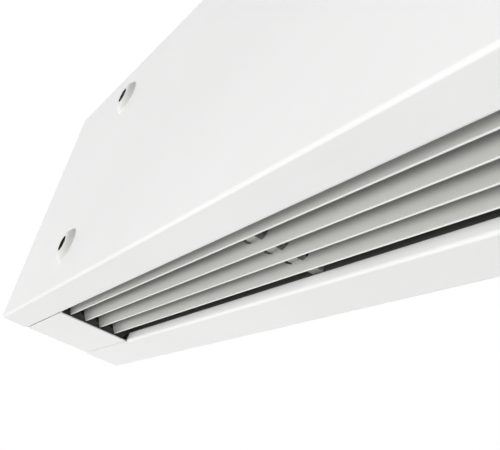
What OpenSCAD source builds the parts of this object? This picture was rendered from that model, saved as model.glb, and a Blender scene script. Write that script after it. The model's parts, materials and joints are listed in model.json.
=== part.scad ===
// Air curtain for a doorway: a sheet metal casing that hangs level over the
// opening, with a long louvred outlet in its underside.
// Inside every module Y is measured from the rear face towards the cover,
// Z from the lowest point of the cover, and X from the middle of the unit.

/* [Casing] */
// Length of the casing
case_l = 1025; // [1000:5:1400]
// Depth from the rear face to the front of the cover
case_d = 159; // [156:1:200]
// Height from the underside to the top
case_h = 290; // [288:1:360]
// Thickness of the casing sheet
sheet = 1.2; // [1:0.1:1.6]
// Outer radius of every bend
bend_r = 2.6; // [2.2:0.1:3.4]
// Gap left at every seam between two sheets
seam = 0.6; // [0.4:0.1:0.8]
// Gap between the rear flange and the end trays
tray_gap = 0.2; // [0.1:0.1:0.6]
// Gap between the cover and the end trays
cover_gap = 0.8; // [0.4:0.1:1.2]
// Depth of the narrow flange between the rear face and the outlet
rear_flange = 34; // [32:1:38]
// How far the cover stands proud of the casing, below and at both ends
cover_proud = 0.5; // [0.2:0.1:1.6]
// Width of the cover's flange on the top of the casing
top_lap = 20; // [16:1:26]

/* [Outlet] */
// Width of the outlet slot
outlet_w = 80; // [76:1:90]
// Distance from each end of the casing to the outlet slot
outlet_inset = 135; // [110:1:150]
// Height of the return lip on the cover, along the slot
lip_h = 10.2; // [8:0.1:11]
// How much shorter the lip is at its upper edge, at each end
lip_slant = 4; // [2:0.5:8]
// Height of the return on the rear flange, along the slot
return_h = 10; // [6:0.5:11]
// How far the duct runs past the slot at each end
duct_overrun = 8; // [4:1:14]
// Height of the fan deck above the underside
deck_z = 118; // [112:1:130]
// Height at which the rear duct wall starts to lean back
duct_knee_z = 22; // [20:1:30]
// Height of the rear duct wall's leg on the casing's rear
duct_leg = 16; // [12:1:20]
// Width across the tie bar in the middle of the slot
tie_bar_w = 13; // [11:0.5:15]
// Height of the tie bar
tie_bar_h = 5; // [4:0.5:6]
// Sideways place of the tie bar's middle
tie_bar_x = -2.5; // [-3:0.5:0]
// How far the tie bar's underside lies below the pivots
tie_bar_drop = 4; // [3:0.5:4]

/* [Blades] */
// Distance from one blade to the next
blade_pitch = 18; // [17:0.5:19]
// Width of a blade from its lower to its upper edge
blade_chord = 26; // [22:0.5:27]
// Thickness of a blade
blade_t = 1.6; // [1.2:0.1:1.8]
// Diameter of the rounded bead along a blade's lower edge
bead_d = 1.8; // [1.8:0.1:2.4]
// Distance from the lower edge of a blade to its pivot
pivot_up = 14.5; // [13:0.5:15]
// Lean of the blades from the vertical
blade_lean = 31; // [20:1:34]
// Height of the blades' lower edges above the casing's underside
blade_lift = 4; // [3:0.5:6]
// Length of the oval window for the tie bar in each blade
window_l = 38; // [34:1:40]
// Height of that window
window_h = 13.6; // [13:0.2:14]
// Sideways place of the windows' middle
window_x = 1; // [0:0.5:1.5]
// Diameter of the pivot pins
pin_d = 5; // [4:0.5:6]
// Radial running clearance of every pin and shaft
run_gap = 0.05; // [0.03:0.01:0.08]

/* [Wall bosses] */
// Diameter of the pressed bosses at the rear face
boss_d = 40; // [38:1:48]
// Diameter of the flat top of a boss
boss_top_d = 19; // [18.5:0.5:24]
// How far the bosses stand out of the rear face
boss_h = 5.6; // [4:0.2:7]
// Diameter of the hole in each boss
boss_hole_d = 16; // [11:0.5:17]
// Distance from each end of the casing to the bosses
boss_inset = 194; // [170:1:220]
// Height of the lower bosses above the casing's underside
boss_low = 53; // [50:1:58]
// Distance between the lower and the upper bosses
boss_rise = 187; // [180:1:192]

/* [Fan] */
// Outer diameter of the fan wheels
wheel_d = 100; // [90:1:102]
// Radial depth of the wheel blades
wheel_ring = 8.5; // [7:0.5:10]
// Length of a fan wheel
wheel_l = 150; // [130:5:160]
// Number of blades in a fan wheel
wheel_blades = 32; // [24:1:36]
// Width of a fan housing
housing_w = 172; // [166:1:180]
// Distance from the middle of the unit to the middle of a fan housing
housing_x = 160; // [155:1:175]
// Height of the shaft above the fan deck
shaft_rise = 86; // [84:1:92]
// Distance from the rear face to the shaft
shaft_y = 82; // [81:1:86]
// Diameter of the motor shaft
shaft_d = 10; // [8:0.5:12]
// Thickness of the fan housing sheet
housing_t = 1.2; // [1:0.1:1.5]
// Diameter of the motor
motor_d = 84; // [76:1:88]
// Length of the motor's finned barrel
motor_l = 76; // [66:1:80]

/* [Intake grille] */
// Length of the window in the cover
grille_l = 860; // [700:10:900]
// Height of the window in the cover
grille_h = 140; // [120:2:142]
// Distance from the top of the casing to the window
grille_drop = 24; // [23:1:27]
// Number of louvre bars
grille_bars = 10; // [8:1:11]
// Number of upright ribs
grille_ribs = 7; // [5:1:9]

/* [Hidden] */

$fn = 64;
bend_steps = 6;             // straight pieces in the drawing of a right-angled bend
eps = 1;                    // how far a cutting tool runs past the face it cuts
white = [0.93, 0.93, 0.92];
blade_grey = [0.80, 0.80, 0.77];
dark = [0.16, 0.16, 0.155];
zinc = [0.66, 0.68, 0.69];
steel = [0.75, 0.76, 0.77];
black = [0.08, 0.08, 0.08];
pale_plastic = [0.85, 0.85, 0.83];

// heights and depths that several pieces share
rear_y = boss_h / 2 - case_d / 2;          // row Y of the rear face: the origin is in the middle
base_z = cover_proud;                      // underside of the casing
floor_z = base_z + sheet;                  // upper face of the casing's bottom flanges
top_z = case_h - sheet;                    // top of the casing, under the cover's flange
roof_z = top_z - sheet;                    // lower face of the casing's top
half_l = case_l / 2;
bend_in = bend_r - sheet;                  // inner radius of every bend
front_y = case_d - sheet - seam;           // as far as the fixed casing reaches
panel_y1 = front_y - sheet;                // front edge of the end panels
end_flange = 14;                           // width of the end panels' flanges
stiffener = 14;                            // height of the stiffening edges

// slot and duct
outlet_y0 = rear_flange;
outlet_y1 = rear_flange + outlet_w;
lip_y = outlet_y1 + cover_gap;             // face of the cover's lip
slot_end = half_l - outlet_inset;
duct_l = case_l - 2 * (outlet_inset - duct_overrun);
duct_y0 = outlet_y0 - sheet;               // inner face of the rear duct wall
duct_y1 = lip_y + 2 * sheet;               // inner face of the front duct wall
duct_foot_z = floor_z + bend_r;            // lower edge of the duct walls, clear of the bends
duct_flange = 10;                          // width of the front duct wall's top flange
duct_end_t = 2;
deck_top = deck_z + sheet;

// blades
blade_count = 4;
end_gap = 0.5;                             // between a blade's cap and the duct end
cap_t = 3;
cap_w = 4;
cap_h = 16;
blade_l = duct_l - 2 * (end_gap + cap_t);
pivot_z = base_z + blade_lift + pivot_up * cos(blade_lean);
first_edge_y = outlet_y0 + (outlet_w - (blade_count - 1) * blade_pitch) / 2;
function pivot_y(i) = first_edge_y + (i - 1) * blade_pitch - pivot_up * sin(blade_lean);
window_sides = 32;
bush_d = pin_d + 4;
strip_t = 3;
strip_h = 14;
pin_l = end_gap + duct_end_t + strip_t - 0.5;

// intake grille
grille_z = top_z - grille_drop - grille_h / 2;
grille_depth = 9;
grille_rim = 8;                            // width of its flange behind the cover
grille_edge = 5;                           // width of its frame
grille_bar_t = 1.6;
grille_bar_lean = 35;
deck_y1 = case_d - grille_depth - 2;       // front edge of the fan deck

// fans
shaft_z = deck_top + shaft_rise;
wheel_r = wheel_d / 2;
blade_sweep = 11;                          // angle by which a wheel blade curves forward
blade_angle = 1;                           // thickness of a wheel blade, as an angle
end_ring = 4;                              // width of the rings at a wheel's ends
hub_l = 30;
press_gap = 0.02;                          // radial play of parts that are pushed together
scroll_tip = wheel_r + 4;                  // the scroll is nearest to the wheel at its tongue
scroll_back = 2 * sheet + bend_in + seam;   // its back stands clear of the deck's rear bend
scroll_wide = shaft_y - scroll_back - housing_t;
tongue_a = -70;
throat_y = scroll_tip * cos(tongue_a) + 4;
housing_lap = 9;                           // flange of a housing on the deck
inlet_r = wheel_r - wheel_ring - 0.5;
ring_seat = inlet_r + housing_t + bend_r - sheet / 2;
ring_lap = 5;                              // flange of an inlet ring on the housing
ring_dip = 5;                              // how far an inlet ring dips into the housing

// motor
bell_l = 12;                               // length of the motor's end shields
fins = 24;
bearing_d = 26;
bearing_l = 8;
bearing_x = motor_l / 2 + bell_l - bearing_l / 2;
cradle_t = 2.5;
cradle_side = 8;                           // width of a cradle's post beside the motor
strap_x = motor_l / 2 - 10;
strap_w = 14;

// electrical parts
capacitor_d = 35;
capacitor_l = 72;
capacitor_at = [75 - half_l, 60, deck_top + sheet + capacitor_d / 2];
clip_w = 16;
clip_foot = 12;
capacitor_pin_gap = 6;
term_size = [84, 80, 46];
term_t = 2.5;
term_inset = 110;
term_at = [half_l - term_inset, 30, deck_top];
term_hole_d = 12;
gland_xs = [half_l - 80, half_l - 45];
gland_y = 60;
gland_d = 20;
gland_hex = 27;
gland_nut = 5;

// bosses, inserts and screws
boss_x = half_l - boss_inset;
boss_zs = [base_z + boss_low, base_z + boss_low + boss_rise];
flank_step = 1 / 8;                        // part of a boss's flank that is drawn as one cone
plate_w = 60;                              // backing plate behind a boss
plate_t = 3;
insert_inset = 140;
insert_margin = 35;
insert_x = half_l - insert_inset;
insert_ys = [insert_margin, case_d - insert_margin];
insert_d = 11;
insert_bore = 6.8;
insert_l = 14;
screw_d = 4;
screw_gap = 0.2;
cover_screw_inset = 35;
cover_screw_xs = [for (i = [-2:2]) i * (half_l - cover_screw_inset) / 2];
deck_screw_margin = 20;

// ---------------------------------------------------------------- drawing aids

module from_rear() translate([0, rear_y, 0]) children();
module both_ends() {
    children();
    mirror([1, 0, 0]) children();
}
module other_end() mirror([1, 0, 0]) children();

function along(a, b) = (b - a) / norm(b - a);
function left_of(v) = [-v.y, v.x];
function turn_side(a, b) = sign(a.x * b.y - a.y * b.x);
function reversed(list) = [for (i = [len(list) - 1:-1:0]) list[i]];

// One side of a bent sheet: the centre line moved over by off, each corner an arc
function bent_side(path, off, r) = let (n = len(path)) [
    path[0] + off * left_of(along(path[0], path[1])),
    for (i = [1:1:n - 2])
        let (d1 = along(path[i - 1], path[i]), d2 = along(path[i], path[i + 1]),
            s = turn_side(d1, d2), turn = acos(d1 * d2),
            centre = path[i] - r * tan(turn / 2) * d1 + s * r * left_of(d1),
            start = atan2(-s * left_of(d1).y, -s * left_of(d1).x))
        for (k = [0:bend_steps])
            centre + (r - s * off) * [cos(start + s * turn * k / bend_steps),
                                      sin(start + s * turn * k / bend_steps)],
    path[n - 1] + off * left_of(along(path[n - 2], path[n - 1]))];

module bent_outline(path, t = sheet)
    polygon(concat(bent_side(path, t / 2, bend_r - sheet / 2),
        reversed(bent_side(path, -t / 2, bend_r - sheet / 2))));

// A sheet bent in the Y-Z plane and running along X
module long_sheet(path, l) rotate([90, 0, 90]) linear_extrude(l, center = true) bent_outline(path);

// An outline in the Y-Z plane, from x0 on
module plate_x(x0, t) translate([x0, 0, 0]) rotate([90, 0, 90]) linear_extrude(t) children();

// A box from one corner to the other
module box(a, b) translate(a) cube(b - a);

// Rectangle from one corner to the other with its corners cut at 45 degrees
module cut_corners(a, b, c) polygon([[a.x + c, a.y], [b.x - c, a.y], [b.x, a.y + c], [b.x, b.y - c],
    [b.x - c, b.y], [a.x + c, b.y], [a.x, b.y - c], [a.x, a.y + c]]);

// Oval window
module oval(l, h, t) linear_extrude(t, center = true)
    polygon([for (i = [1:window_sides]) let (a = i * 360 / window_sides) [l / 2 * cos(a), h / 2 * sin(a)]]);

// Screw with its head on top of the plane Z = 0
module pan_screw(l) {
    translate([0, 0, -l]) cylinder(d = screw_d, h = l, $fn = 24);
    difference() {
        cylinder(d = 2 * screw_d, h = 0.6 * screw_d, $fn = 32);
        for (a = [0, 90]) rotate(a) translate([0, 0, 0.6 * screw_d])
            cube([1.2 * screw_d, 0.25 * screw_d, 0.5 * screw_d], center = true);
    }
}

// ---------------------------------------------------------------- casing

module at_bosses() for (x = [-boss_x, boss_x], z = boss_zs) translate([x, 0, z]) rotate([90, 0, 0]) children();
module at_inserts() for (x = [-insert_x, insert_x], y = insert_ys) translate([x, y, top_z]) children();
module at_cover_screws() for (x = cover_screw_xs) translate([x, case_d - top_lap / 2, case_h]) children();

// Pressed boss: a flat top with a hole, and a flank that curves down to the rear face
function boss_flank(w, z0, parts) = [for (t = parts) [boss_top_d / 2 + w * t, z0 + boss_h * (1 - t * t)]];
module pressed_boss() let (w = (boss_d - boss_top_d) / 2) rotate_extrude() polygon(concat(
    [[boss_d / 2, -sheet]], boss_flank(w, 0, [1:-flank_step:0]), [[boss_hole_d / 2, boss_h],
    [boss_hole_d / 2, boss_h - sheet]], boss_flank(w - sheet, -sheet, [0:flank_step:1])));

module rear_casing() from_rear() color(white) {
    difference() {
        long_sheet([[outlet_y0 - sheet / 2, base_z + return_h], [outlet_y0 - sheet / 2, base_z + sheet / 2],
            [sheet / 2, base_z + sheet / 2], [sheet / 2, top_z - sheet / 2],
            [front_y - sheet / 2, top_z - sheet / 2], [front_y - sheet / 2, top_z - stiffener]], case_l);
        both_ends() box([half_l - sheet - seam, outlet_y0 - 2 * sheet, floor_z],
            [half_l + eps, outlet_y0 + eps, base_z + return_h + eps]);
        at_bosses() cylinder(d = boss_d, h = 4 * sheet, center = true);
        at_inserts() cylinder(d = insert_d, h = 4 * sheet, center = true);
        at_cover_screws() cylinder(d = screw_d + 2 * screw_gap, h = 8 * sheet, center = true, $fn = 24);
        for (x = gland_xs) translate([x, gland_y, top_z]) cylinder(d = gland_d, h = 4 * sheet, center = true);
    }
    at_bosses() pressed_boss();
}

// The cover's lower edge is plain beside the trays and turned up into a lip along the slot
module front_cover() from_rear() color(white) {
    difference() {
        long_sheet([[lip_y, sheet / 2], [case_d - sheet / 2, sheet / 2], [case_d - sheet / 2, case_h - sheet / 2],
            [case_d - top_lap, case_h - sheet / 2]], case_l + 2 * cover_proud);
        box([-slot_end, lip_y - eps, -eps], [slot_end, lip_y + bend_r, floor_z]);
        translate([0, case_d, grille_z]) cube([grille_l, 8 * sheet, grille_h], center = true);
        at_cover_screws() cylinder(d = screw_d + 2 * screw_gap, h = 4 * sheet, center = true, $fn = 24);
    }
    intersection() {
        long_sheet([[lip_y + sheet / 2, lip_h], [lip_y + sheet / 2, sheet / 2], [lip_y + bend_r, sheet / 2]],
            2 * slot_end);
        translate([0, lip_y + bend_r + eps, 0]) rotate([90, 0, 0]) linear_extrude(bend_r + 2 * eps)
            polygon([[-slot_end, 0], [slot_end, 0], [slot_end, bend_r], [slot_end - lip_slant, lip_h],
                [lip_slant - slot_end, lip_h], [-slot_end, bend_r]]);
    }
}

module intake_grille() from_rear() color(white) {
    rim_l = grille_l - 2 * screw_gap;
    rim_h = grille_h - 2 * screw_gap;
    open_l = rim_l - 2 * grille_edge;
    open_h = rim_h - 2 * grille_edge;
    pitch = open_h / grille_bars;
    translate([0, case_d, grille_z]) {
        difference() {
            union() {
                translate([0, -grille_depth / 2, 0]) cube([rim_l, grille_depth, rim_h], center = true);
                translate([0, -1.5 * sheet, 0])
                    cube([rim_l + 2 * grille_rim, sheet, rim_h + 2 * grille_rim], center = true);
            }
            cube([open_l, 4 * grille_depth, open_h], center = true);
        }
        for (i = [1:grille_ribs]) translate([(i / (grille_ribs + 1) - 0.5) * open_l, -grille_depth / 2, 0])
            cube([grille_bar_t, grille_depth, open_h + eps], center = true);
        for (i = [0:grille_bars - 1]) translate([0, -grille_depth / 2, (i + 0.5) * pitch - open_h / 2])
            rotate([-grille_bar_lean, 0, 0])
                cube([open_l + eps, grille_depth, grille_bar_t], center = true);
    }
}

// The left end: a wall with flanges and the tray that closes the underside up to the slot
module end_panel() {
    tray_y0 = outlet_y0 + tray_gap;
    tray_l = outlet_w - tray_gap;
    translate([0, tray_y0 + tray_l / 2, 0]) rotate([90, 0, 0]) linear_extrude(tray_l, center = true)
        bent_outline([[-half_l + outlet_inset, base_z + sheet / 2], [-half_l + sheet / 2, base_z + sheet / 2],
            [-half_l + sheet / 2, deck_z]]);
    plate_x(-half_l, sheet) cut_corners([sheet, base_z + bend_r], [panel_y1, roof_z], bend_in);
    box([-half_l, sheet + bend_in, roof_z - sheet], [-half_l + end_flange, panel_y1 - bend_in, roof_z]);
    box([-half_l, sheet, floor_z + bend_in], [-half_l + end_flange, 2 * sheet, roof_z - bend_in]);
    box([-half_l, panel_y1 - sheet, floor_z + bend_in], [-half_l + end_flange, panel_y1, top_z - stiffener]);
}

module end_panel_left() from_rear() color(white) end_panel();
module end_panel_right() from_rear() color(white) other_end() end_panel();

// ---------------------------------------------------------------- outlet duct

module duct_wall_rear() from_rear() color(dark)
    long_sheet([[duct_y0 - sheet / 2, duct_foot_z], [duct_y0 - sheet / 2, duct_knee_z],
        [1.5 * sheet, deck_z - duct_leg], [1.5 * sheet, deck_z]], duct_l);

module duct_wall_front() from_rear() color(dark)
    long_sheet([[duct_y1 + sheet / 2, duct_foot_z], [duct_y1 + sheet / 2, deck_z - sheet / 2],
        [duct_y1 + duct_flange, deck_z - sheet / 2]], duct_l);

// Plate that closes an end of the duct and carries the blades' pivots
module duct_end() {
    step_z = base_z + return_h + seam;
    y0 = duct_y0 - sheet;
    y1 = duct_y1 + sheet;
    difference() {
        plate_x(-duct_l / 2 - duct_end_t, duct_end_t) polygon([[outlet_y0 + seam, floor_z],
            [outlet_y1, floor_z], [outlet_y1, step_z], [y1, step_z], [y1, deck_z], [sheet, deck_z],
            [sheet, deck_z - duct_leg], [y0, duct_knee_z], [y0, step_z], [outlet_y0 + seam, step_z]]);
        at_pivots() cylinder(d = bush_d, h = 4 * duct_end_t, center = true);
        at_strip_screws() cylinder(d = screw_d + screw_gap, h = 4 * duct_end_t, center = true, $fn = 24);
    }
}

module duct_end_left() from_rear() color(dark) duct_end();
module duct_end_right() from_rear() color(dark) other_end() duct_end();

// Upturned channel that holds the two sides of the slot at their distance
module tie_bar() from_rear() color(blade_grey)
    translate([tie_bar_x - tie_bar_w / 2, duct_y0, pivot_z - tie_bar_drop]) difference() {
        cube([tie_bar_w, duct_y1 - duct_y0, tie_bar_h]);
        translate([sheet, -eps, sheet]) cube([tie_bar_w - 2 * sheet, duct_y1 - duct_y0 + 2 * eps, tie_bar_h]);
    }

// ---------------------------------------------------------------- blades

// Blade in its own frame: pivot at the origin, lower edge towards -Z, then leaned over
module blade_shape() rotate([blade_lean, 0, 0]) difference() {
    rotate([90, 0, 90]) linear_extrude(blade_l, center = true) {
        translate([-blade_t / 2, bead_d / 2 - pivot_up])
            square([blade_t, blade_chord - bead_d / 2 - blade_t / 2]);
        translate([0, bead_d / 2 - pivot_up]) circle(d = bead_d, $fn = 24);
        translate([0, blade_chord - pivot_up - blade_t / 2]) circle(d = blade_t, $fn = 16);
    }
    translate([window_x, 0, 0]) rotate([90, 0, 0]) oval(window_l, window_h, 4 * blade_t);
}

// End cap with its pivot pin, at both ends
module cap_shape() both_ends() {
    rotate([blade_lean, 0, 0])
        box([blade_l / 2, -cap_w / 2, -cap_h / 2], [blade_l / 2 + cap_t, cap_w / 2, cap_h / 2]);
    translate([blade_l / 2 + cap_t, 0, 0]) rotate([0, 90, 0])
        cylinder(d = pin_d, h = pin_l);
}

module blade(i) from_rear() color(blade_grey) translate([0, pivot_y(i), pivot_z]) blade_shape();
module blade_caps(i) from_rear() color(black) translate([0, pivot_y(i), pivot_z]) cap_shape();

// Places on the left duct end's inner face, looking out of the duct
module at_pivots() for (i = [1:blade_count])
    translate([-duct_l / 2, pivot_y(i), pivot_z]) rotate([0, -90, 0]) children();
module at_strip_screws() for (i = [1, blade_count - 1])
    translate([-duct_l / 2, (pivot_y(i) + pivot_y(i + 1)) / 2, pivot_z]) rotate([0, -90, 0]) children();

// Moulded strip outside the duct end with one bush for each blade
module pivot_strip() difference() {
    union() {
        box([-duct_l / 2 - duct_end_t - strip_t, outlet_y0 + seam, pivot_z - strip_h / 2],
            [-duct_l / 2 - duct_end_t, pivot_y(blade_count) + bush_d, pivot_z + strip_h / 2]);
        at_pivots() cylinder(d = bush_d, h = duct_end_t);
    }
    at_pivots() translate([0, 0, -eps]) cylinder(d = pin_d + 2 * run_gap, h = 2 * eps + strip_t + duct_end_t);
    at_strip_screws() cylinder(d = screw_d + screw_gap, h = 3 * strip_t, $fn = 24);
}

module pivot_strip_left() from_rear() color(black) pivot_strip();
module pivot_strip_right() from_rear() color(black) other_end() pivot_strip();

module pivot_strip_screws() from_rear() color(steel) both_ends() at_strip_screws()
    translate([0, 0, duct_end_t + strip_t]) pan_screw(duct_end_t + strip_t + 1);

// ---------------------------------------------------------------- fans and motor

// Radius of the scroll at an angle, and its outline, moved out by off and down to the deck by drop
function scroll_r(a) = scroll_tip + (scroll_wide - scroll_tip) * (a - tongue_a) / (180 - tongue_a);
function scroll_outline(off, drop) = concat(
    [for (a = [tongue_a:10:180]) (scroll_r(a) + off) * [cos(a), sin(a)]],
    [[-scroll_wide - off, -drop], [throat_y + off, -drop]]);

module at_housings() for (x = [-housing_x, housing_x]) translate([x, shaft_y, shaft_z]) children();
module at_deck_screws()
    for (x = [-1, 1] * (housing_w + housing_lap) / 2,
            y = [deck_screw_margin - scroll_wide, throat_y - deck_screw_margin])
        translate([x, y, -shaft_rise]) children();

// Plate that carries the fans, with its corners notched for the end panels' flanges
module fan_deck() from_rear() color(zinc) difference() {
    long_sheet([[1.5 * sheet, deck_z + stiffener], [1.5 * sheet, deck_z + sheet / 2],
        [deck_y1 - sheet / 2, deck_z + sheet / 2], [deck_y1 - sheet / 2, deck_z + stiffener]],
        case_l - 2 * (sheet + seam));
    both_ends() box([half_l - end_flange - seam, 0, deck_z - eps],
        [half_l, sheet + bend_r + seam, deck_z + stiffener + eps]);
    at_housings() {
        box([housing_t - housing_w / 2, -scroll_wide, -shaft_rise - 2 * sheet],
            [housing_w / 2 - housing_t, throat_y, eps - shaft_rise]);
        at_deck_screws() cylinder(d = screw_d + screw_gap, h = 4 * sheet, center = true, $fn = 24);
    }
}

module housing() {
    plate_x(-housing_w / 2, housing_w) difference() {
        polygon(scroll_outline(housing_t, shaft_rise));
        polygon(scroll_outline(0, shaft_rise + eps));
    }
    both_ends() {
        plate_x(housing_w / 2 - housing_t, housing_t) difference() {
            polygon(scroll_outline(housing_t, shaft_rise));
            circle(r = ring_seat);
        }
        difference() {
            box([housing_w / 2 - housing_t, -scroll_wide, -shaft_rise],
                [housing_w / 2 + housing_lap, throat_y, housing_t - shaft_rise]);
            at_deck_screws() cylinder(d = screw_d + screw_gap, h = 4 * sheet, center = true, $fn = 24);
        }
    }
}

module fan_housing_left() from_rear() color(zinc) translate([-housing_x, shaft_y, shaft_z]) housing();
module fan_housing_right() from_rear() color(zinc) translate([housing_x, shaft_y, shaft_z]) housing();

// Flared ring in each inlet
module inlet_rings() from_rear() color(zinc) at_housings() both_ends()
    translate([housing_w / 2, 0, 0]) rotate([0, 90, 0]) rotate_extrude()
        bent_outline([[inlet_r + housing_t / 2, -ring_dip], [inlet_r + housing_t / 2, housing_t / 2],
            [ring_seat + ring_lap, housing_t / 2]], housing_t);

// One side of a forward-curved blade, turned by lead
function wheel_blade(lead) = let (r0 = wheel_r - wheel_ring, r1 = wheel_r - 0.4)
    [for (t = [0:0.25:1]) let (a = blade_sweep * t * t + lead) (r0 + (r1 - r0) * t) * [cos(a), sin(a)]];

module fan_wheel() rotate([90, 0, 90]) {
    linear_extrude(wheel_l, center = true) for (i = [1:wheel_blades]) rotate(i * 360 / wheel_blades)
        polygon(concat(wheel_blade(0), reversed(wheel_blade(blade_angle))));
    for (s = [-1, 1]) translate([0, 0, s * (wheel_l - end_ring) / 2]) difference() {
        cylinder(r = wheel_r, h = end_ring, center = true);
        cylinder(r = wheel_r - 2.5, h = end_ring + eps, center = true);
    }
    difference() {
        union() {
            cylinder(r = wheel_r - 1.5, h = 2, center = true);
            cylinder(d = 2.4 * shaft_d, h = hub_l, center = true);
        }
        cylinder(d = shaft_d + 2 * press_gap, h = hub_l + eps, center = true);
    }
}

module fan_wheel_left() from_rear() color(zinc) translate([-housing_x, shaft_y, shaft_z]) fan_wheel();
module fan_wheel_right() from_rear() color(zinc) translate([housing_x, shaft_y, shaft_z]) fan_wheel();

module motor_shaft() from_rear() color(steel) translate([0, shaft_y, shaft_z]) rotate([0, 90, 0])
    cylinder(d = shaft_d, h = 2 * housing_x + hub_l + 8, center = true);

// Barrel with fins, and an end shield that holds the bearing at each end
module motor() from_rear() color(steel) translate([0, shaft_y, shaft_z]) rotate([0, 90, 0]) difference() {
    union() {
        linear_extrude(motor_l, center = true) difference() {
            circle(d = motor_d);
            for (i = [1:fins]) rotate(i * 360 / fins) translate([motor_d / 2, 0]) square([6, 3], center = true);
        }
        for (turn = [0, 180]) rotate([turn, 0, 0]) rotate_extrude() polygon([[0, motor_l / 2],
            [motor_d / 2 - 3, motor_l / 2], [motor_d / 2 - 5, motor_l / 2 + 5],
            [bearing_d / 2 + 5, motor_l / 2 + 7], [bearing_d / 2 + 4, motor_l / 2 + bell_l],
            [0, motor_l / 2 + bell_l]]);
    }
    cylinder(d = shaft_d + 2, h = 2 * motor_l, center = true);
    for (s = [-1, 1]) translate([0, 0, s * (bearing_x + eps / 2)])
        cylinder(d = bearing_d, h = bearing_l + eps, center = true);
}

module motor_bearings() from_rear() color(steel) translate([0, shaft_y, shaft_z]) rotate([0, 90, 0])
    for (s = [-1, 1]) translate([0, 0, s * bearing_x]) difference() {
        cylinder(d = bearing_d - 2 * press_gap, h = bearing_l, center = true);
        cylinder(d = shaft_d + 2 * run_gap, h = bearing_l + eps, center = true);
    }

// Saddle that the motor lies in, and the two straps over it
module motor_cradle() from_rear() color(zinc) translate([0, shaft_y, 0]) {
    box([-motor_l / 2, -motor_d / 2, deck_top], [motor_l / 2, motor_d / 2, deck_top + cradle_t]);
    both_ends() plate_x(strap_x - cradle_t / 2, cradle_t) difference() {
        translate([-motor_d / 2 - cradle_side, deck_top]) square([motor_d + 2 * cradle_side, shaft_rise]);
        translate([0, shaft_z]) circle(r = motor_d / 2 + run_gap);
    }
}

module motor_straps() from_rear() color(zinc) translate([0, shaft_y, shaft_z]) both_ends()
    plate_x(strap_x - strap_w / 2, strap_w) {
        difference() {
            circle(r = motor_d / 2 + run_gap + housing_t);
            circle(r = motor_d / 2 + run_gap);
            translate([-motor_d, -2 * motor_d]) square(2 * motor_d);
        }
        for (side = [0, 1]) mirror([side, 0]) translate([motor_d / 2 + run_gap + housing_t / 2, 0])
            square([cradle_side - housing_t, housing_t]);
    }

// ---------------------------------------------------------------- electrical parts

module capacitor() from_rear() color(pale_plastic) translate(capacitor_at) rotate([0, 90, 0]) {
    cylinder(d = capacitor_d, h = capacitor_l, center = true);
    for (y = [-1, 1] * capacitor_pin_gap) translate([0, y, capacitor_l / 2]) cylinder(d = 4, h = 8, $fn = 24);
}

module capacitor_clip() from_rear() color(zinc) translate(capacitor_at) difference() {
    union() {
        plate_x(-clip_w / 2, clip_w) difference() {
            circle(r = capacitor_d / 2 + sheet);
            translate([-clip_foot / 2, 0]) square([clip_foot, capacitor_d]);
        }
        box([-clip_w / 2, -capacitor_d / 2 - clip_foot, -capacitor_d / 2 - sheet],
            [clip_w / 2, capacitor_d / 2 + clip_foot, -capacitor_d / 2]);
    }
    rotate([0, 90, 0]) cylinder(r = capacitor_d / 2 + press_gap, h = 2 * clip_w, center = true);
}

module terminal_box() from_rear() color(pale_plastic) translate(term_at) difference() {
    cube(term_size);
    translate([term_t, term_t, term_t]) cube([term_size.x - 2 * term_t, term_size.y - 2 * term_t, term_size.z]);
    for (x = [1, 3] * term_size.x / 4) translate([x, term_size.y / 2, term_size.z - term_hole_d])
        rotate([90, 0, 0]) cylinder(d = term_hole_d, h = 2 * term_size.y, center = true);
}

// Lid with a rim that drops into the box
module terminal_lid() from_rear() color(pale_plastic) translate(term_at + [0, 0, term_size.z]) {
    inner = term_size - [term_t + screw_gap, term_t + screw_gap, term_size.z];
    box([-1, -1, 0], [term_size.x + 1, term_size.y + 1, term_t]);
    difference() {
        box([term_t + screw_gap, term_t + screw_gap, -term_t], inner);
        box([2 * term_t, 2 * term_t, -term_t - eps], inner - [term_t, term_t, 0]);
    }
}

module terminal_block() from_rear() color(white) translate(term_at + [14, 30, term_t]) difference() {
    union() {
        cube([56, 20, 10]);
        translate([0, 5, 0]) cube([56, 10, 18]);
    }
    for (i = [0:5]) translate([6 + 8.8 * i, 10, 11]) cylinder(d = 4, h = 10, $fn = 24);
}

// Gland on the top of the casing, with its nut inside
module cable_glands() from_rear() color(black) for (x = gland_xs) translate([x, gland_y, top_z]) {
    difference() {
        union() {
            translate([0, 0, -12]) cylinder(d = gland_d - screw_gap, h = 12);
            cylinder(d = gland_hex, h = gland_nut, $fn = 6);
            translate([0, 0, gland_nut]) cylinder(d1 = 23, d2 = 16, h = 10);
        }
        cylinder(d = 9, h = 60, center = true);
    }
    translate([0, 0, -sheet - gland_nut]) difference() {
        cylinder(d = gland_hex, h = gland_nut, $fn = 6);
        cylinder(d = gland_d - screw_gap + 2 * press_gap, h = 3 * gland_nut, center = true);
    }
}

// ---------------------------------------------------------------- mounting and fasteners

module boss_backing_plates() from_rear() color(zinc) at_bosses() difference() {
    translate([0, 0, -sheet - plate_t / 2]) cube([plate_w, plate_w, plate_t], center = true);
    cylinder(d = boss_hole_d + 6, h = 8 * plate_t, center = true);
}

// Threaded rivet nuts in the top, for hanging bolts
module hanging_inserts() from_rear() color(steel) at_inserts() difference() {
    union() {
        cylinder(d = insert_d + 5, h = 1.4);
        translate([0, 0, -insert_l]) cylinder(d = insert_d - 2 * press_gap, h = insert_l);
    }
    cylinder(d = insert_bore, h = 3 * insert_l, center = true);
}

module cover_screws() from_rear() color(steel) at_cover_screws() pan_screw(3 * screw_d);

module deck_screws() from_rear() color(steel) at_housings() at_deck_screws()
    translate([0, 0, housing_t]) pan_screw(2 * screw_d);

// ---------------------------------------------------------------- nodes

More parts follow.
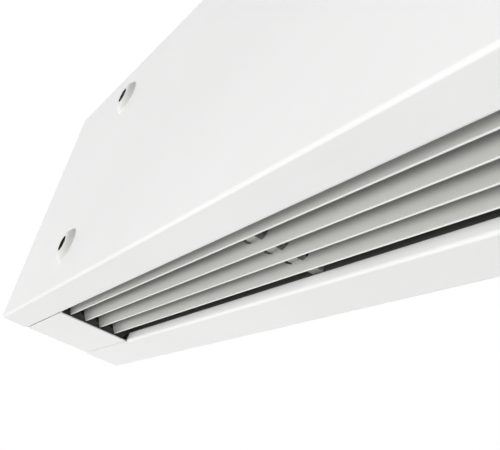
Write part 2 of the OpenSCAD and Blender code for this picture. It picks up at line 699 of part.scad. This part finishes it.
rear_casing();
front_cover();
intake_grille();
end_panel_left();
end_panel_right();
duct_wall_rear();
duct_wall_front();
duct_end_left();
duct_end_right();
tie_bar();
blade(1);  // blade_1
blade(2);  // blade_2
blade(3);  // blade_3
blade(4);  // blade_4
blade_caps(1);  // blade_caps_1
blade_caps(2);  // blade_caps_2
blade_caps(3);  // blade_caps_3
blade_caps(4);  // blade_caps_4
pivot_strip_left();
pivot_strip_right();
pivot_strip_screws();
fan_deck();
fan_housing_left();
fan_housing_right();
inlet_rings();
fan_wheel_left();
fan_wheel_right();
motor_shaft();
motor();
motor_bearings();
motor_cradle();
motor_straps();
capacitor();
capacitor_clip();
terminal_box();
terminal_lid();
terminal_block();
cable_glands();
boss_backing_plates();
hanging_inserts();
cover_screws();
deck_screws();
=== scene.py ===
"""Looks of an air curtain: materials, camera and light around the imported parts. Metres, +Z up."""
import json
import math
import bpy
from mathutils import Matrix, Vector

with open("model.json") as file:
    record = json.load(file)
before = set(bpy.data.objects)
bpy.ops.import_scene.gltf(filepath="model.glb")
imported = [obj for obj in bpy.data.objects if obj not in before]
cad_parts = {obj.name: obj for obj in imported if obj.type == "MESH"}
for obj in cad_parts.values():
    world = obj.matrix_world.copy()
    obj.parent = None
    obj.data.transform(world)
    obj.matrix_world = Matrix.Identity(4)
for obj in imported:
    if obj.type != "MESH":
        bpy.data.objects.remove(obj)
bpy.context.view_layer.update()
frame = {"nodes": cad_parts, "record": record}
MM = 0.001

# ---------------------------------------------------------------- camera
FRAME_W = 500                      # the photograph's width in pixels
FOCAL_PX = 850                     # focal length in those pixels
SENSOR_MM = 36
CENTRE_OFF = (30, 15)              # from the point straight ahead to the frame's centre, in pixels
CAMERA_AT = Vector((0.5153, -0.2493, -0.2217))
CAMERA_RIGHT = Vector((0.46046, 0.83817, 0.2923))
CAMERA_UP = Vector((0.2102, -0.42288, 0.88147))
CLIP_START = 0.01

# ---------------------------------------------------------------- surroundings and lamps
FLOOR_Z = -4.0                     # the unit hangs high over a doorway
FLOOR_SIZE = 90
FLOOR = (0.80, 0.80, 0.795)
FLOOR_LIGHT = (0.83, 0.83, 0.825)
FLOOR_ROUGH = 0.9
FLOOR_GLOW = 0.62                  # light that the floor itself gives to the camera and reflections
BACKDROP = (1, 1, 1, 1)
BACKDROP_LIGHT = 1.0               # strength that the camera and reflections see
WORLD_LIGHT = 0.03                 # strength that reaches the object
AIM = Vector((0, 0, 0.1))
# each lamp: direction towards it, distance, width, height, its share of a white surface's light
LAMPS = {
    "left": ((-0.78, -0.60, -0.19), 6.5, 3.1, 3.0, 0.82),
    "front": ((0.58, -0.70, -0.415), 2.8, 1.3, 0.9, 0.565),
    "under": ((-0.35, 0.52, -0.74), 2.4, 1.2, 1.2, 0.45),
    "back": ((0.40, 0.80, 0.40), 3.5, 2.0, 2.0, 0.75),
    "top": ((0.05, 0.25, 0.95), 2.2, 1.4, 0.9, 0.60),
}

# ---------------------------------------------------------------- colours
WHITE = (0.868, 0.868, 0.864)
WHITE_DEEP = (0.845, 0.845, 0.840)
BLADE = (0.515, 0.517, 0.490)
BLADE_DEEP = (0.485, 0.486, 0.460)
DUCT = (0.088, 0.085, 0.079)
DUCT_LIGHT = (0.105, 0.102, 0.095)
BLACK = (0.014, 0.014, 0.014)
BLACK_LIGHT = (0.022, 0.022, 0.022)
ZINC = (0.52, 0.54, 0.55)
ZINC_LIGHT = (0.66, 0.68, 0.69)
ALLOY = (0.42, 0.43, 0.44)
ALLOY_LIGHT = (0.52, 0.53, 0.54)
STEEL = (0.58, 0.58, 0.57)
STEEL_LIGHT = (0.68, 0.68, 0.67)
PLASTIC = (0.70, 0.70, 0.67)
PLASTIC_LIGHT = (0.76, 0.76, 0.73)

# tints over a base colour: the colour, where it is full and where it has ended
EDGE_HIGHLIGHT = ((0.790, 0.790, 0.770), 0.0047, 0.0051)     # painted highlight: the blades' lower edge painted lighter, by height
BOSS_TONE_AND_SHADE = ((0.775, 0.783, 0.748), -0.0779, -0.0769)   # bosses, by Y; they end at the rear face. Their own greener tone, darkened further as painted shade
HOLE_SHADE = ((0.012, 0.012, 0.012), 0.0083, 0.0085)     # painted shade: the wall holes' inner walls painted near black, by radius
# where the painted shade of the wall holes sits
HOLES_MIDDLE = (0, -1, 0.147)      # one metre off in Y, so that only X and Z are mirrored
HOLES_HALF_WAY = (0.3185, 0.9215, 0.0935)
HOLES_SCALE = (1, 0.3, 1)


# ---------------------------------------------------------------- materials
class Nodes:
    """A material's node tree, with short calls for the nodes that the finishes share."""

    def __init__(self, name):
        self.material = bpy.data.materials.new(name)
        self.material.use_nodes = True
        self.tree = self.material.node_tree
        self.shader = self.tree.nodes["Principled BSDF"]
        self.coords = self.add("ShaderNodeTexCoord").outputs["Object"]

    def add(self, kind, **values):
        """A node with these values, each for the socket or the property of that name."""
        node = self.tree.nodes.new(kind)
        for key, value in values.items():
            if key in node.inputs:
                node.inputs[key].default_value = value
            else:
                setattr(node, key, value)
        return node

    def link(self, a, b):
        self.tree.links.new(a, b)

    def set(self, **values):
        """Constant values on the shader's sockets, with _ for the spaces in their names."""
        for key, value in values.items():
            self.shader.inputs[key.replace("_", " ")].default_value = value

    def coordinate(self, axis):
        node = self.add("ShaderNodeSeparateXYZ")
        self.link(self.coords, node.inputs["Vector"])
        return node.outputs[axis]

    def stretched(self, scale):
        """The coordinates, scaled differently along X, Y and Z."""
        node = self.add("ShaderNodeMapping", Scale=scale)
        self.link(self.coords, node.inputs["Vector"])
        return node.outputs["Vector"]

    def noise(self, scale, detail=3.0, rough=0.5, along=None):
        """Smooth noise, along other coordinates than the object's where these are given."""
        node = self.add("ShaderNodeTexNoise", Scale=scale, Detail=detail, Roughness=rough)
        self.link(along or self.coords, node.inputs["Vector"])
        return node.outputs["Fac"]

    def cells(self, scale):
        node = self.add("ShaderNodeTexVoronoi", Scale=scale)
        self.link(self.coords, node.inputs["Vector"])
        return node.outputs["Color"]

    def between(self, value, low, high, start=0.3, end=0.7):
        """A number that runs from low to high as value runs from start to end."""
        node = self.add("ShaderNodeMapRange")
        for key, number in (("From Min", start), ("From Max", end),
                            ("To Min", low), ("To Max", high)):
            node.inputs[key].default_value = number
        self.link(value, node.inputs["Value"])
        return node.outputs["Result"]

    def from_holes(self, middle, half_way, scale):
        """Distance from four points, half_way to both sides of the middle, each axis scaled."""
        value = self.coords
        for operation, vector in (("SUBTRACT", middle), ("ABSOLUTE", None),
                                  ("SUBTRACT", half_way), ("MULTIPLY", scale), ("LENGTH", None)):
            node = self.add("ShaderNodeVectorMath", operation=operation)
            self.link(value, node.inputs[0])
            if vector:
                node.inputs[1].default_value = vector
            value = node.outputs["Value" if operation == "LENGTH" else "Vector"]
        return value

    def colours(self, value, dark, light, start=0.35, end=0.65):
        """A base colour that runs from dark to light as value runs from start to end."""
        node = self.add("ShaderNodeValToRGB")
        first, last = node.color_ramp.elements
        first.position, last.position = start, end
        first.color, last.color = (*dark, 1), (*light, 1)
        self.link(value, node.inputs["Fac"])
        self.link(node.outputs["Color"], self.shader.inputs["Base Color"])

    def tint(self, value, colour, start, end):
        """Another base colour where value is below start, with a soft change to end."""
        mix = self.add("ShaderNodeMixRGB", Color2=(*colour, 1))
        self.link(self.between(value, 1.0, 0.0, start, end), mix.inputs["Fac"])
        self.link(self.shader.inputs["Base Color"].links[0].from_socket, mix.inputs["Color1"])
        self.link(mix.outputs["Color"], self.shader.inputs["Base Color"])

    def roughness(self, value, low, high):
        self.link(self.between(value, low, high), self.shader.inputs["Roughness"])

    def bump(self, height, depth, strength, edge=0.0):
        """Relief of that depth in metres, with corners rounded to the radius edge."""
        node = self.add("ShaderNodeBump", Strength=strength, Distance=depth)
        self.link(height, node.inputs["Height"])
        if edge:
            bevel = self.add("ShaderNodeBevel", samples=4, Radius=edge)
            self.link(bevel.outputs["Normal"], node.inputs["Normal"])
        self.link(node.outputs["Normal"], self.shader.inputs["Normal"])


def powder_coat(name):
    """Baked powder: a faint orange peel and a slow drift in tone; the bosses get a greener tone
    with painted shade, the holes' walls painted shade.
    """
    m = Nodes(name)
    m.colours(m.noise(5.0, detail=4.0), WHITE_DEEP, WHITE)
    m.roughness(m.noise(40.0), low=0.38, high=0.47)
    m.bump(m.noise(1100.0, detail=1.0), depth=0.02 * MM, strength=0.6, edge=0.4 * MM)
    m.set(Specular_IOR_Level=0.45)
    # the bosses' own greener tone, darkened further as painted shade
    m.tint(m.coordinate("Y"), *BOSS_TONE_AND_SHADE)
    # painted shade on the inner walls of the wall holes
    m.tint(m.from_holes(HOLES_MIDDLE, HOLES_HALF_WAY, HOLES_SCALE), *HOLE_SHADE)
    return m.material


def blade_coat(name):
    """Satin coat drawn out along the blade, with a painted highlight on the rounded lower edge."""
    m = Nodes(name)
    drift = m.noise(30.0, detail=4.0, rough=0.6, along=m.stretched((0.05, 1, 1)))
    lines = m.noise(900.0, rough=0.6, along=m.stretched((0.02, 1, 1)))
    m.colours(drift, BLADE_DEEP, BLADE)
    # painted highlight: the rounded lower edge painted lighter
    m.tint(m.coordinate("Z"), *EDGE_HIGHLIGHT)
    m.roughness(lines, low=0.36, high=0.5)
    m.bump(lines, depth=0.01 * MM, strength=0.5)
    return m.material


def galvanised(name):
    """Zinc with its frost-like spangle."""
    m = Nodes(name)
    spangle = m.cells(110.0)
    m.colours(spangle, ZINC, ZINC_LIGHT, start=0.1, end=0.9)
    m.roughness(spangle, low=0.34, high=0.5)
    m.bump(m.noise(300.0, detail=4.0), depth=0.02 * MM, strength=0.5, edge=0.2 * MM)
    m.set(Metallic=0.85)
    return m.material


def cast_metal(name):
    """Die-cast alloy with a coarse skin."""
    m = Nodes(name)
    m.colours(m.noise(60.0, detail=6.0), ALLOY, ALLOY_LIGHT)
    m.roughness(m.noise(160.0), low=0.45, high=0.62)
    m.bump(m.noise(700.0, detail=4.0), depth=0.06 * MM, strength=0.8, edge=0.5 * MM)
    m.set(Metallic=0.7)
    return m.material


def grained(name, dark, light, rough):
    """Fine even grain, of moulded plastic or of the duct's dull coat."""
    m = Nodes(name)
    m.colours(m.noise(25.0, detail=4.0), dark, light)
    m.roughness(m.noise(90.0), low=rough - 0.05, high=rough + 0.06)
    m.bump(m.noise(1600.0, detail=2.0), depth=0.03 * MM, strength=0.7, edge=0.3 * MM)
    m.set(Specular_IOR_Level=0.4)
    return m.material


def plated(name):
    """Bright zinc plating on small hardware."""
    m = Nodes(name)
    m.colours(m.noise(200.0, detail=5.0), STEEL, STEEL_LIGHT)
    m.roughness(m.noise(500.0), low=0.24, high=0.4)
    m.bump(m.noise(1500.0), depth=0.01 * MM, strength=0.5, edge=0.2 * MM)
    m.set(Metallic=1.0)
    return m.material


FINISH = {
    "white_paint": powder_coat("white powder coat"),
    "dark_paint": grained("dark duct coat", DUCT, DUCT_LIGHT, rough=0.6),
    "blade_metal": blade_coat("satin blade coat"),
    "black_plastic": grained("black plastic", BLACK, BLACK_LIGHT, rough=0.5),
    "zinc": galvanised("galvanised sheet"),
    "motor_metal": cast_metal("cast motor shell"),
    "steel": plated("zinc plated steel"),
    "pale_plastic": grained("pale plastic", PLASTIC, PLASTIC_LIGHT, rough=0.45),
    "white_plastic": grained("white plastic", WHITE_DEEP, WHITE, rough=0.4),
}

for part in frame["record"]["subparts"]:
    for slot in frame["nodes"][part["node"]].material_slots:
        slot.material = FINISH[part["material_slot"]]


# ---------------------------------------------------------------- stage and light
def seen(tree):
    """1 for what the camera or a reflection sees, 0 for the light that reaches the object."""
    path, either = tree.nodes.new("ShaderNodeLightPath"), tree.nodes.new("ShaderNodeMath")
    either.operation = "MAXIMUM"
    tree.links.new(path.outputs["Is Camera Ray"], either.inputs[0])
    tree.links.new(path.outputs["Is Glossy Ray"], either.inputs[1])
    return either.outputs[0]


def add_floor():
    """Plain pale floor, brightened for the camera and reflections; it keeps the shadow."""
    m = Nodes("pale floor")
    m.colours(m.noise(2.0), FLOOR, FLOOR_LIGHT)
    m.set(Roughness=FLOOR_ROUGH, Emission_Color=BACKDROP)
    glow = m.add("ShaderNodeMath", operation="MULTIPLY")
    glow.inputs[1].default_value = FLOOR_GLOW
    m.link(seen(m.tree), glow.inputs[0])
    m.link(glow.outputs[0], m.shader.inputs["Emission Strength"])

    side = FLOOR_SIZE / 2
    corners = [(x * side, y * side, FLOOR_Z) for x, y in ((-1, -1), (1, -1), (1, 1), (-1, 1))]
    mesh = bpy.data.meshes.new("floor")
    mesh.from_pydata(corners, [], [(0, 1, 2, 3)])
    mesh.materials.append(m.material)
    floor = bpy.data.objects.new("floor", mesh)
    bpy.context.collection.objects.link(floor)


def add_world():
    """Soft light from all round; the camera and reflections see a white background."""
    world = bpy.data.worlds.new("studio")
    world.use_nodes = True
    bpy.context.scene.world = world
    nodes, links = world.node_tree.nodes, world.node_tree.links
    nodes.clear()
    mix = nodes.new("ShaderNodeMixShader")
    links.new(seen(world.node_tree), mix.inputs["Fac"])
    for place, strength in enumerate((WORLD_LIGHT, BACKDROP_LIGHT), start=1):
        background = nodes.new("ShaderNodeBackground")
        background.inputs["Color"].default_value = BACKDROP
        background.inputs["Strength"].default_value = strength
        links.new(background.outputs[0], mix.inputs[place])
    links.new(mix.outputs[0], nodes.new("ShaderNodeOutputWorld").inputs["Surface"])


def add_softbox(name, toward, distance, width, height, share):
    """Oblong lamp whose light on a surface that faces it is that share of full white.

    Gloss mirrors the white surroundings, not the lamps.
    """
    lamp = bpy.data.lights.new(name, "AREA")
    lamp.shape, lamp.size, lamp.size_y = "RECTANGLE", width, height
    lamp.energy = share * (math.pi * distance) ** 2
    obj = bpy.data.objects.new(name, lamp)
    bpy.context.collection.objects.link(obj)
    direction = Vector(toward).normalized()
    obj.location = AIM + distance * direction
    obj.rotation_euler = (-direction).to_track_quat("-Z", "Y").to_euler()
    obj.visible_camera = False
    obj.visible_glossy = False


def add_camera():
    """The camera fitted to the photograph's edges."""
    data = bpy.data.cameras.new("camera")
    data.sensor_width = SENSOR_MM
    data.lens = FOCAL_PX / FRAME_W * SENSOR_MM
    data.shift_x, data.shift_y = CENTRE_OFF[0] / FRAME_W, CENTRE_OFF[1] / FRAME_W
    data.clip_start = CLIP_START
    camera = bpy.data.objects.new("camera", data)
    bpy.context.collection.objects.link(camera)
    right, up = CAMERA_RIGHT.normalized(), CAMERA_UP.normalized()
    back = right.cross(up).normalized()
    turn = Matrix((right, back.cross(right), back)).transposed().to_4x4()
    camera.matrix_world = Matrix.Translation(CAMERA_AT) @ turn
    bpy.context.scene.camera = camera


add_floor()
add_world()
for lamp_name, lamp_values in LAMPS.items():
    add_softbox(lamp_name, *lamp_values)
add_camera()

bpy.context.scene.view_settings.view_transform = "Standard"
